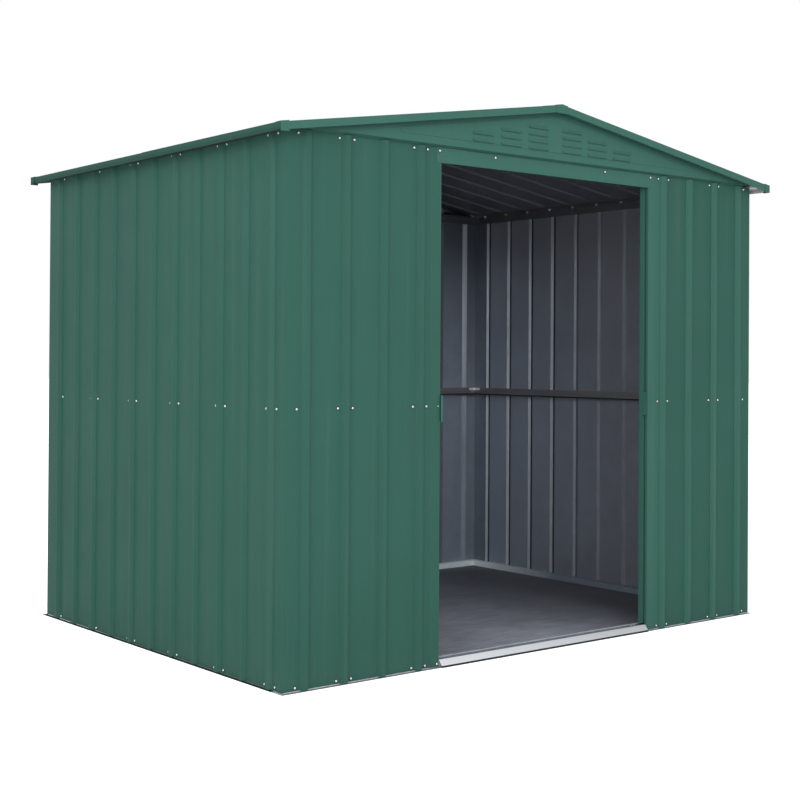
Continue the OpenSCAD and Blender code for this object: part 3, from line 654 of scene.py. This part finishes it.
def turned(bm, profile, matrix, angles, finish=0, smooth=True, cap=(False, True)):
    """A turned shape from (radius, height) pairs; returns its last ring."""
    rings = []
    for radius, height in profile:
        rings.append([
            bm.verts.new(matrix @ Vector((radius * math.cos(a), radius * math.sin(a), height))) for a in angles])
    count = len(angles)
    for low, high in zip(rings, rings[1:]):
        for i in range(count):
            face = bm.faces.new((low[i], low[(i + 1) % count], high[(i + 1) % count], high[i]))
            face.material_index = finish
            face.smooth = smooth
    if cap[0]:
        bm.faces.new(reversed(rings[0])).material_index = finish
    if cap[1]:
        bm.faces.new(rings[-1]).material_index = finish
    return rings[-1]


def round_angles(count):
    return [2 * math.pi * i / count for i in range(count)]


def cross_angles(arm, width):
    """Angles of the twelve corners of a cross recess."""
    tip = math.atan2(width, arm)
    return [q * math.pi / 2 + a for q in range(4) for a in (-tip, tip, math.pi / 4)]


def screw(bm, at, out, sizes, index, scale=1.0, tip=True, washer=True):
    """A pan head screw with a cross recess, a sealing washer under it and a threaded tip behind."""
    matrix = basis(at, out, index * GOLDEN_TURN)
    r, h = sizes.head_d / 2 * scale, sizes.head_h * scale
    seat = sizes.washer_t if washer else 0.0
    if washer:
        w = sizes.washer_d / 2 * scale
        turned(bm, [(w, 0), (w, seat * 0.6), (w * 0.93, seat), (r * 0.8, seat)],
               matrix, round_angles(16), 1, True, (False, False))
    arm, width = r * 0.52, r * 0.15
    angles = cross_angles(arm, width)
    rim = [(r * 0.94, seat), (r, seat + h * 0.18), (r * 0.97, seat + h * 0.5), (r * 0.86, seat + h * 0.78),
           (r * 0.70, seat + h * 0.95)]
    top = turned(bm, rim, matrix, angles, 0, True, (False, False))
    levels = []
    for grow, height in ((1.0, seat + h), (0.72, seat + h * 0.42)):
        level = []
        for k, a in enumerate(angles):
            reach = math.hypot(arm, width) if k % 3 != 2 else width * math.sqrt(2)
            level.append(bm.verts.new(matrix @ Vector((
                reach * grow * math.cos(a), reach * grow * math.sin(a), height))))
        levels.append(level)
    for low, high in ((top, levels[0]), (levels[0], levels[1])):
        for i in range(len(angles)):
            j = (i + 1) % len(angles)
            bm.faces.new((low[i], low[j], high[j], high[i])).smooth = low is top
    bm.faces.new(levels[1])
    if tip:
        t, back = sizes.tip_d / 2 * scale, -sizes.tip_l
        rings = [(t * 0.8, 0.0)]
        for k in range(sizes.thread_turns):
            z = back * 0.72 * (k + 0.5) / sizes.thread_turns
            rings += [(t, z), (t * 0.8, z + back * 0.09)]
        rings += [(t * 0.25, back)]
        turned(bm, list(reversed(rings)), matrix, round_angles(8), 2, False, (True, False))


def bolt(bm, at, out, sizes, index, nut=False):
    """A hexagon bolt head or nut on a plain washer."""
    matrix = basis(at, out, index * 0.7)
    flat = sizes.bolt_af / 2
    corner = flat / math.cos(math.pi / 6)
    seat = 0.0014
    turned(bm, [(flat * 1.25, 0), (flat * 1.25, seat - 0.0003), (flat * 1.18, seat)],
           matrix, round_angles(20), 0, False)
    height = seat + (0.005 if nut else 0.004)
    turned(bm, [(corner * 0.98, seat), (corner, seat + 0.0004), (corner, height - 0.0006), (flat * 0.96, height)],
           matrix, round_angles(6), 0, False)
    if nut:
        turned(bm, [(flat * 0.55, height), (flat * 0.55, height + 0.0022), (flat * 0.42, height + 0.0030)],
               matrix, round_angles(12), 0, True)


def add_piece(name, bm, finishes, body):
    """Turns a built mesh into a piece that rides on a body."""
    bmesh.ops.recalc_face_normals(bm, faces=bm.faces)
    data = bpy.data.meshes.new(name)
    bm.to_mesh(data)
    bm.free()
    for finish in finishes:
        data.materials.append(FINISH[finish])
    piece = bpy.data.objects.new(name, data)
    bpy.context.scene.collection.objects.link(piece)
    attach(piece, body)
    return piece


def screw_piece(name, spots, out, sizes, **kind):
    """One piece made of the screws at the given spots."""
    bm = bmesh.new()
    for i, spot in enumerate(spots):
        screw(bm, spot, out, sizes, i, **kind)
    add_piece(name, bm, SCREW_FINISHES, "root")


def pairs(joints, gap):
    """Places on both sides of each joint."""
    return [joint + side * gap for joint in joints for side in (-1, 1)]


def on_roof(side, s, y, v):
    """A place on a roof slope: s down the slope, v above the pans."""
    c, t = math.cos(ROOF_SLOPE), math.sin(ROOF_SLOPE)
    return Vector((side * (s * c + v * t), y, RIDGE_Z - s * t + v * c))


def roof_out(side):
    """Direction out of a roof slope."""
    return Vector((side * math.sin(ROOF_SLOPE), 0, math.cos(ROOF_SLOPE)))


# One operator for each group of like pieces, and one for the stage
class SHED_OT_stage(bpy.types.Operator):
    """Camera at the photographed view, pale floor and soft white light"""
    bl_idname = "shed.stage"
    bl_label = "Set the stage"

    def execute(self, context):
        look = context.scene.shed_stage
        yaw, tilt, roll = look.turn
        ahead = Vector((math.sin(yaw) * math.cos(tilt), math.cos(yaw) * math.cos(tilt), math.sin(tilt)))
        right = Vector((math.cos(yaw), -math.sin(yaw), 0))
        up = right.cross(ahead)
        right, up = (
            math.cos(roll) * right + math.sin(roll) * up,
            math.cos(roll) * up - math.sin(roll) * right)
        lens = bpy.data.cameras.new("photo_camera")
        lens.sensor_width, lens.lens = 36, look.lens
        lens.shift_x, lens.shift_y = look.shift
        lens.clip_end = 200
        camera = bpy.data.objects.new("photo_camera", lens)
        turn = Matrix((right, up, -ahead)).transposed().to_4x4()
        camera.matrix_world = Matrix.Translation(Vector(look.eye)) @ turn
        context.scene.collection.objects.link(camera)
        context.scene.camera = camera

        bm = bmesh.new()
        bmesh.ops.create_circle(bm, cap_ends=True, segments=96, radius=60)
        data = bpy.data.meshes.new("studio_floor")
        bm.to_mesh(data)
        bm.free()
        floor = bpy.data.objects.new("studio_floor", data)
        floor.location.z = -0.0005
        context.scene.collection.objects.link(floor)
        tree, shader = start_finish("studio_floor")
        seen = put(tree, "ShaderNodeLightPath").outputs["Is Camera Ray"]
        tone = remap(tree, noise(tree, 0.6, 2.0), 0.3, 0.7, 0.98, 1.0)
        feed(tree, shader.inputs["Base Color"], mixed(tree, 1.0, look.floor_white, tone, "MULTIPLY"))
        feed(tree, shader.inputs["Emission Color"], mixed(tree, seen, (0, 0, 0), (look.floor_glow,) * 3))
        shader.inputs["Emission Strength"].default_value = 1.0
        shader.inputs["Roughness"].default_value = 0.9
        shader.inputs["Specular IOR Level"].default_value = 0.0
        data.materials.append(FINISH["studio_floor"])

        world = bpy.data.worlds.new("white_surroundings")
        world.use_nodes = True
        tree = world.node_tree
        rise = put(tree, "ShaderNodeSeparateXYZ", None, Vector=put(tree, "ShaderNodeTexCoord").outputs["Generated"])
        dome = mixed(tree, remap(tree, rise.outputs["Z"], 0, 1, 0, 1), (look.horizon,) * 3, (look.zenith,) * 3)
        seen = put(tree, "ShaderNodeLightPath").outputs["Is Camera Ray"]
        feed(tree, tree.nodes["Background"].inputs["Color"], mixed(tree, seen, dome, (1, 1, 1)))
        context.scene.world = world
        for name, place, size, power in (
                ("key_light", (-4.2, -8.2, 3.8), 4.0, look.key),
                ("side_light", (-9.0, -1.9, 2.6), 6.0, look.side),
                ("slant_light", (-7.0, -5.0, 2.8), 5.0, look.slant),
                ("back_light", (7.0, 4.0, 5.0), 5.0, look.back)):
            lamp = bpy.data.lights.new(name, "AREA")
            lamp.shape, lamp.size, lamp.energy = "DISK", size, power
            light = bpy.data.objects.new(name, lamp)
            light.location = place
            aim = Vector((0, 0, 0.9)) - Vector(place)
            light.rotation_mode = "QUATERNION"
            light.rotation_quaternion = aim.to_track_quat("-Z", "Y")
            context.scene.collection.objects.link(light)
        context.scene.view_settings.view_transform = "Standard"
        return {"FINISHED"}


class SHED_OT_finishes(bpy.types.Operator):
    """Shared shader groups and every finish of the shed"""
    bl_idname = "shed.finishes"
    bl_label = "Make the finishes"

    def execute(self, context):
        look = context.scene.shed_finishes
        for made in (weathering_group(), paint_skin_group(), spangle_group(), brush_group(), scuff_group()):
            GROUPS[made.name] = made
        streaks = look.streaks
        paint("wall_paint", look.wall_green, look, rough=0.46, dust=0.05, streaks=streaks, specular=0.07)
        paint("trim_paint", look.trim_green_lightened, look, rough=0.44, dust=0.04,
              streaks=streaks * 0.6, specular=0.07, wave=0.25)
        paint("roof_paint", look.roof_green, look, rough=0.48, dust=0.0, streaks=streaks * 0.5, specular=0.07)
        paint("lit_rib_paint", look.lit_rib_green, look, rough=0.46, dust=0.05, streaks=streaks, specular=0.07)
        paint("foot_paint", look.foot_green, look, rough=0.85, dust=0.1, streaks=0.0, specular=0.0)
        shaded_eave_paint("shaded_eave_paint", look)
        # Side walls' inside coat, with painted shade away from the doorway and painted light near the tops.
        bare_sheet("back_coat", look.back_coat, look, 0.8, look.back_far_shade, "Y", -0.45, BACK, look.back_high_light)
        # Rib flanks: painted shade, with painted light near the tops.
        bare_sheet("flank_shade_coat", look.flank_shade_coat, look, 0.6, upper=look.flank_high_light)
        # Back wall's rib: painted light above the low coat.
        bare_sheet("lit_back_rib", look.rear_low, look, 0.4, look.lit_back_rib, "Z", 0.6, 1.3)
        # Back wall: painted shade towards the top.
        bare_sheet("rear_coat_shaded_top", look.rear_low, look, 0.8, look.rear_high_shade, "Z", 0.85, 1.6)
        # Back right corner: painted shade.
        bare_sheet("corner_shade_coat", look.corner_shade_coat, look, 0.8)
        # Rib grooves: painted light near the front, painted shade further back.
        bare_sheet("groove_shade", look.groove_lit_front, look, 0.7, look.groove_shade, "Y", -0.05, 0.28)
        # Roof underside: painted shade inside the walls, painted light beyond them.
        bare_sheet("roof_back_shaded", look.roof_back_shaded, look, 0.8, look.eave_back_lit, "X", RIGHT + 0.010, RIGHT + 0.014)
        rail_steel("rail_steel", look.rail_grey, look)
        rail_steel("top_rail", look.top_grey, look)
        galvanised("zinc_rail", look.zinc, 120.0, rough=0.40, metallic=0.6)
        # Base rails: painted reflection towards the back, painted shade towards the front.
        galvanised("base_zinc_glint", look.base_zinc_glint, 120.0, rough=0.45, metallic=0.15,
                   contrast=0.10, shade_tint=look.base_front_shade)
        galvanised("tie_zinc_and_glint", look.tie_zinc_and_glint, 300.0, rough=0.45, metallic=0.3, contrast=0.05)
        # Floor track's inner faces: painted shade below the upper edge.
        galvanised("track_zinc", look.track_lip, 150.0, rough=0.45, metallic=0.6,
                   contrast=0.22, shade_tint=look.track_shade_grey, axis="Z", low=0.0195, high=0.021)
        galvanised("flange_zinc", look.flange_zinc, 120.0, rough=0.55, metallic=0.3)
        # Fascias' inner faces: pale coat, partly painted light.
        bare_sheet("pale_lit_back", look.eave_back_lit, look, 0.1)
        # The sill carries a painted black shadow line along its lowest edge.
        rolled_metal("sill_metal", look.sill_metal, look, (2, 300, 300), metallic=0.85, rough=0.38,
                     contrast=0.07, dust=0.05, doorway_light=0.0, shadow_edge=0.0062, lean=0.19)
        # The floor takes painted light near the doorway and painted shade along the side walls.
        rolled_metal("floor_steel", look.floor_grey, look, (9, 70, 70), metallic=0.1, rough=0.5,
                     contrast=0.34, dust=0.03, doorway_light=0.15)
        moulded("runner_nylon", look.nylon, 0.45)
        # Black of washers and fillers; the same finish gives the sill its painted shadow faces.
        moulded("rubber_and_painted_shadow", look.rubber_and_shadow, 0.6)
        galvanised("screw_plating", look.screw_metal, 900.0, rough=0.30)
        return {"FINISHED"}


class SHED_OT_walls(bpy.types.Operator):
    """Green outside and grey inside on the wall sheets, jambs, header and gables"""
    bl_idname = "shed.walls"
    bl_label = "Paint the walls"

    def execute(self, context):
        for side in ("left", "right", "back"):
            dress(f"{side}_wall_panels", SHEET_FINISHES, outside_of(side))
        for side in ("left", "right"):
            dress(f"front_{side}_panel", SHEET_FINISHES, outside_of("front"))
            for end in ("front", "back"):
                dress(f"{end}_{side}_corner_panel", SHEET_FINISHES, corner_side(side, end))
        dress("left_jamb", ("wall_paint", "back_coat"), faces_in)
        for node in ("right_jamb", "header", "front_gable"):
            dress(node, ("trim_paint", "back_coat"), faces_in)
        dress("back_gable", ("trim_paint", "back_coat"), lambda centre, normal: normal.y < -0.5)
        return {"FINISHED"}


class SHED_OT_roof(bpy.types.Operator):
    """Green outside and grey inside on the roof sheets, and green trims"""
    bl_idname = "shed.roof"
    bl_label = "Paint the roof"

    def execute(self, context):
        for side in ("left", "right"):
            dress(f"{side}_roof_sheets", ("roof_paint", "roof_back_shaded"), underside)
            dress(f"{side}_eave_fascia", ("shaded_eave_paint", "pale_lit_back"),
                  lambda centre, normal: centre.x * normal.x < -0.3)
        for node in ("ridge_cap", "ridge_end_caps", "front_verge_trims", "back_verge_trims"):
            dress(node, ("trim_paint",))
        # The corner caps' side faces take the eave paint with its painted shade.
        dress("eave_corner_caps", ("trim_paint", "shaded_eave_paint"), lambda centre, normal: abs(normal.x) > 0.5)
        return {"FINISHED"}


class SHED_OT_rails(bpy.types.Operator):
    """Dark rails, zinc base rails and tracks, sill and floor"""
    bl_idname = "shed.rails"
    bl_label = "Finish the rails and floor"

    def execute(self, context):
        for node in ("left_mid_rail", "right_mid_rail", "back_mid_rail", "front_left_mid_rail",
                     "front_right_mid_rail"):
            dress(node, ("rail_steel",))
        for node in ("left_top_rail", "right_top_rail", "back_top_rail", "front_top_rail", "ridge_beam"):
            dress(node, ("top_rail",))
        for node in ("back_base_rail", "left_base_rail", "right_base_rail"):
            dress(node, ("base_zinc_glint", "foot_paint"), beyond_walls)
        dress("door_top_track", ("zinc_rail",))
        dress("front_floor_track", ("zinc_rail", "track_zinc", "flange_zinc"), track_face)
        dress("corner_brackets", ("tie_zinc_and_glint",))
        # The sill's end faces and its lowest front face take the black finish as painted shadow.
        dress("door_sill", ("sill_metal", "rubber_and_painted_shadow"),
              lambda centre, normal: abs(normal.x) > 0.9 or normal.y < -0.9 and centre.z < 0.005)
        dress("floor_sheet", ("floor_steel",))
        return {"FINISHED"}


class SHED_OT_doors(bpy.types.Operator):
    """Green doors with grey backs, zinc cross rails and nylon runners"""
    bl_idname = "shed.doors"
    bl_label = "Finish the doors"

    def execute(self, context):
        for side in ("left", "right"):
            dress(f"{side}_door_panel", ("trim_paint", "back_coat"), lambda centre, normal: normal.y > 0.3)
            dress(f"{side}_door_pull", ("trim_paint",))
            dress(f"{side}_door_rails", ("zinc_rail",))
            dress(f"{side}_door_runners", ("runner_nylon",))
        return {"FINISHED"}


class SHED_OT_wall_screws(bpy.types.Operator):
    """Sheet screws in three rows round the walls"""
    bl_idname = "shed.wall_screws"
    bl_label = "Drive the wall screws"

    def execute(self, context):
        sizes = context.scene.shed_fixings
        side_joints = [joint - sizes.pair_shift for joint in SIDE_JOINTS]
        for side, plane in (("left", LEFT), ("right", RIGHT)):
            spots = [(plane, y, z) for z in ROWS for y in pairs(side_joints, sizes.pair_gap)]
            screw_piece(f"{side}_wall_screws", spots, OUTWARD[side], sizes)
        spots = [(x, BACK, z) for z in ROWS for x in pairs(BACK_JOINTS, sizes.pair_gap)]
        spots += [(x, BACK, z) for z in ROWS for x in (LEFT + BACK_END_SCREW, RIGHT - BACK_END_SCREW)]
        screw_piece("back_wall_screws", spots, OUTWARD["back"], sizes)
        places = [side * x for side in (-1, 1) for x in (*pairs(FRONT_JOINTS, sizes.pair_gap), FRONT_END_SCREW)]
        spots = [(x, FRONT, z) for z in ROWS for x in places]
        spots += [(-JAMB_SCREW, JAMB_FACE, ROWS[0])]
        spots += [(x, HEADER_FACE, ROWS[2]) for x in (-JAMB_SCREW, -HEADER_SCREW, HEADER_SCREW, JAMB_SCREW)]
        screw_piece("front_wall_screws", spots, OUTWARD["front"], sizes)
        spots = [(-JAMB_SCREW, JAMB_FACE, ROWS[1])]
        screw_piece("jamb_screw", spots, OUTWARD["front"], sizes, scale=0.6, washer=False)
        return {"FINISHED"}


class SHED_OT_roof_screws(bpy.types.Operator):
    """Roof screws on the ribs, eave bolts with nuts under the top rails, and screws along the ridge cap"""
    bl_idname = "shed.roof_screws"
    bl_label = "Drive the roof screws"

    def execute(self, context):
        sizes = context.scene.shed_fixings
        for side, name in ((-1, "left"), (1, "right")):
            out = roof_out(side)
            spots = [on_roof(side, ROOF_SCREW, y, RIB) for y in ROOF_JOINTS]
            spots += [on_roof(side, EAVE_BOLT / math.cos(ROOF_SLOPE), y, RIB) for y in ROOF_RIBS]
            cap_z = CAP_TOP - CAP_SCREW * math.tan(ROOF_SLOPE)
            spots += [Vector((side * CAP_SCREW, y, cap_z)) for y in ROOF_JOINTS]
            screw_piece(f"{name}_roof_screws", spots, out, sizes, tip=False)
            bm = bmesh.new()
            for i, y in enumerate(ROOF_RIBS):
                bolt(bm, (side * EAVE_BOLT, y, EAVE_NUT_Z), -out, sizes, i, True)
            add_piece(f"{name}_eave_nuts", bm, ("screw_plating",), "root")
        return {"FINISHED"}


class SHED_OT_frame_bolts(bpy.types.Operator):
    """Bolts of the door track, screws of the corner ties and of the floor track"""
    bl_idname = "shed.frame_bolts"
    bl_label = "Fit the frame bolts"

    def execute(self, context):
        sizes = context.scene.shed_fixings
        low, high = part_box("door_top_track")
        bm = bmesh.new()
        for i, x in enumerate(TRACK_BOLTS):
            bolt(bm, (x, high.y, (low.z + high.z) / 2), (0, 1, 0), sizes, i)
        add_piece("door_track_bolts", bm, ("screw_plating",), "root")
        bm = bmesh.new()
        for side in (-1, 1):
            spots = []
            for z, x, y in TIE_CORNERS:
                spots += [((side * (x - TIE_SCREW), y, z), (0, -1, 0))]
                spots += [((side * x, y - TIE_SCREW, z), (-side, 0, 0))]
            spots += [((side * x, TRACK_WALL, TRACK_SCREW_Z), (0, -1, 0)) for x in TRACK_SCREWS]
            for spot, out in spots:
                screw(bm, spot, out, sizes, side, 0.7, False, False)
        add_piece("tie_screws", bm, SCREW_FINISHES, "root")
        return {"FINISHED"}


class SHED_OT_eave_fillers(bpy.types.Operator):
    """Foam wedges that close the gap between the gables' ends and the wall tops"""
    bl_idname = "shed.eave_fillers"
    bl_label = "Fit the eave fillers"

    def execute(self, context):
        low, high = FILLER_Z
        start, end = FILLER_X
        tops = []
        for k in range(FILLER_STEPS + 1):
            x = start + (end - start) * k / FILLER_STEPS
            clear = 0.0018 if x < TOP_RAIL_X else 0.0045
            top = min(high, RIDGE_Z - x * math.tan(ROOF_SLOPE) - clear)
            tops.append((x, max(top, low + FILLER_LEAST)))
        bm = bmesh.new()
        for side in (-1, 1):
            for y in (FRONT + FILLER_INSET, BACK - FILLER_INSET - FILLER_DEPTH):
                columns = []
                for x, top in tops:
                    outline = (
                        (0, low), (FILLER_DEPTH, low), (FILLER_DEPTH, top - 0.0004), (FILLER_DEPTH - 0.001, top),
                        (0.001, top), (0, top - 0.0004))
                    columns.append([bm.verts.new((side * x, y + dy, z)) for dy, z in outline])
                for a, b in zip(columns, columns[1:]):
                    for i in range(6):
                        bm.faces.new((a[i], a[(i + 1) % 6], b[(i + 1) % 6], b[i]))
                bm.faces.new(columns[0])
                bm.faces.new(columns[-1])
        add_piece("eave_fillers", bm, ("rubber_and_painted_shadow",), "root")
        return {"FINISHED"}


class SHED_OT_door_rivets(bpy.types.Operator):
    """Painted rivets on the doors' faces and plated screws behind their hangers"""
    bl_idname = "shed.door_rivets"
    bl_label = "Set the door rivets"

    def execute(self, context):
        sizes = context.scene.shed_fixings
        for side, name in ((-1, "left"), (1, "right")):
            low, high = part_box(f"{name}_door_panel")
            bm = bmesh.new()
            columns = (low.x + RIVET_INSET_X, 0.5 * (low.x + high.x), high.x - RIVET_INSET_X)
            rows = (low.z + RIVET_INSET_Z, 0.5 * (low.z + high.z), high.z - RIVET_INSET_Z)
            for i, (x, z) in enumerate((x, z) for z in rows for x in columns):
                turned(bm, RIVET_PROFILE, basis((x, DOOR_FACE, z), (0, -1, 0), i), round_angles(14))
            add_piece(f"{name}_door_rivets", bm, ("trim_paint",), f"{name}_door")
            bm = bmesh.new()
            for i, x in enumerate(HANGERS):
                for step in (-HANGER_SCREW, HANGER_SCREW):
                    spot = (side * (x + step), DOOR_BACK, high.z - HANGER_SCREW_DROP)
                    screw(bm, spot, (0, 1, 0), sizes, i, 0.8, False, False)
            add_piece(f"{name}_hanger_screws", bm, SCREW_FINISHES, f"{name}_door")
        return {"FINISHED"}


class SHED_PT_panel(bpy.types.Panel):
    """The shed's pieces, sizes and colours"""
    bl_idname = "SHED_PT_panel"
    bl_label = "Metal storage shed"
    bl_space_type = "VIEW_3D"
    bl_region_type = "UI"
    bl_category = "Shed"

    def draw(self, context):
        for step in STEPS:
            self.layout.operator(step.bl_idname)
        for group in (context.scene.shed_finishes, context.scene.shed_fixings, context.scene.shed_stage):
            box = self.layout.box()
            for name in group.bl_rna.properties.keys():
                if name not in ("rna_type", "name"):
                    box.prop(group, name)


STEPS = (
    SHED_OT_stage, SHED_OT_finishes, SHED_OT_walls, SHED_OT_roof, SHED_OT_rails, SHED_OT_doors,
    SHED_OT_wall_screws, SHED_OT_roof_screws, SHED_OT_frame_bolts, SHED_OT_eave_fillers,
    SHED_OT_door_rivets)
GROUP_CLASSES = (ShedFinishes, ShedFixings, ShedStage)


def register():
    for made in (*GROUP_CLASSES, *STEPS, SHED_PT_panel):
        bpy.utils.register_class(made)
    bpy.types.Scene.shed_finishes = PointerProperty(type=ShedFinishes)
    bpy.types.Scene.shed_fixings = PointerProperty(type=ShedFixings)
    bpy.types.Scene.shed_stage = PointerProperty(type=ShedStage)


def unregister():
    for name in ("shed_stage", "shed_fixings", "shed_finishes"):
        delattr(bpy.types.Scene, name)
    for made in reversed((*GROUP_CLASSES, *STEPS, SHED_PT_panel)):
        bpy.utils.unregister_class(made)


def main():
    register()
    for step in STEPS:
        group, name = step.bl_idname.split(".")
        getattr(getattr(bpy.ops, group), name)()


if __name__ == "__main__":
    main()
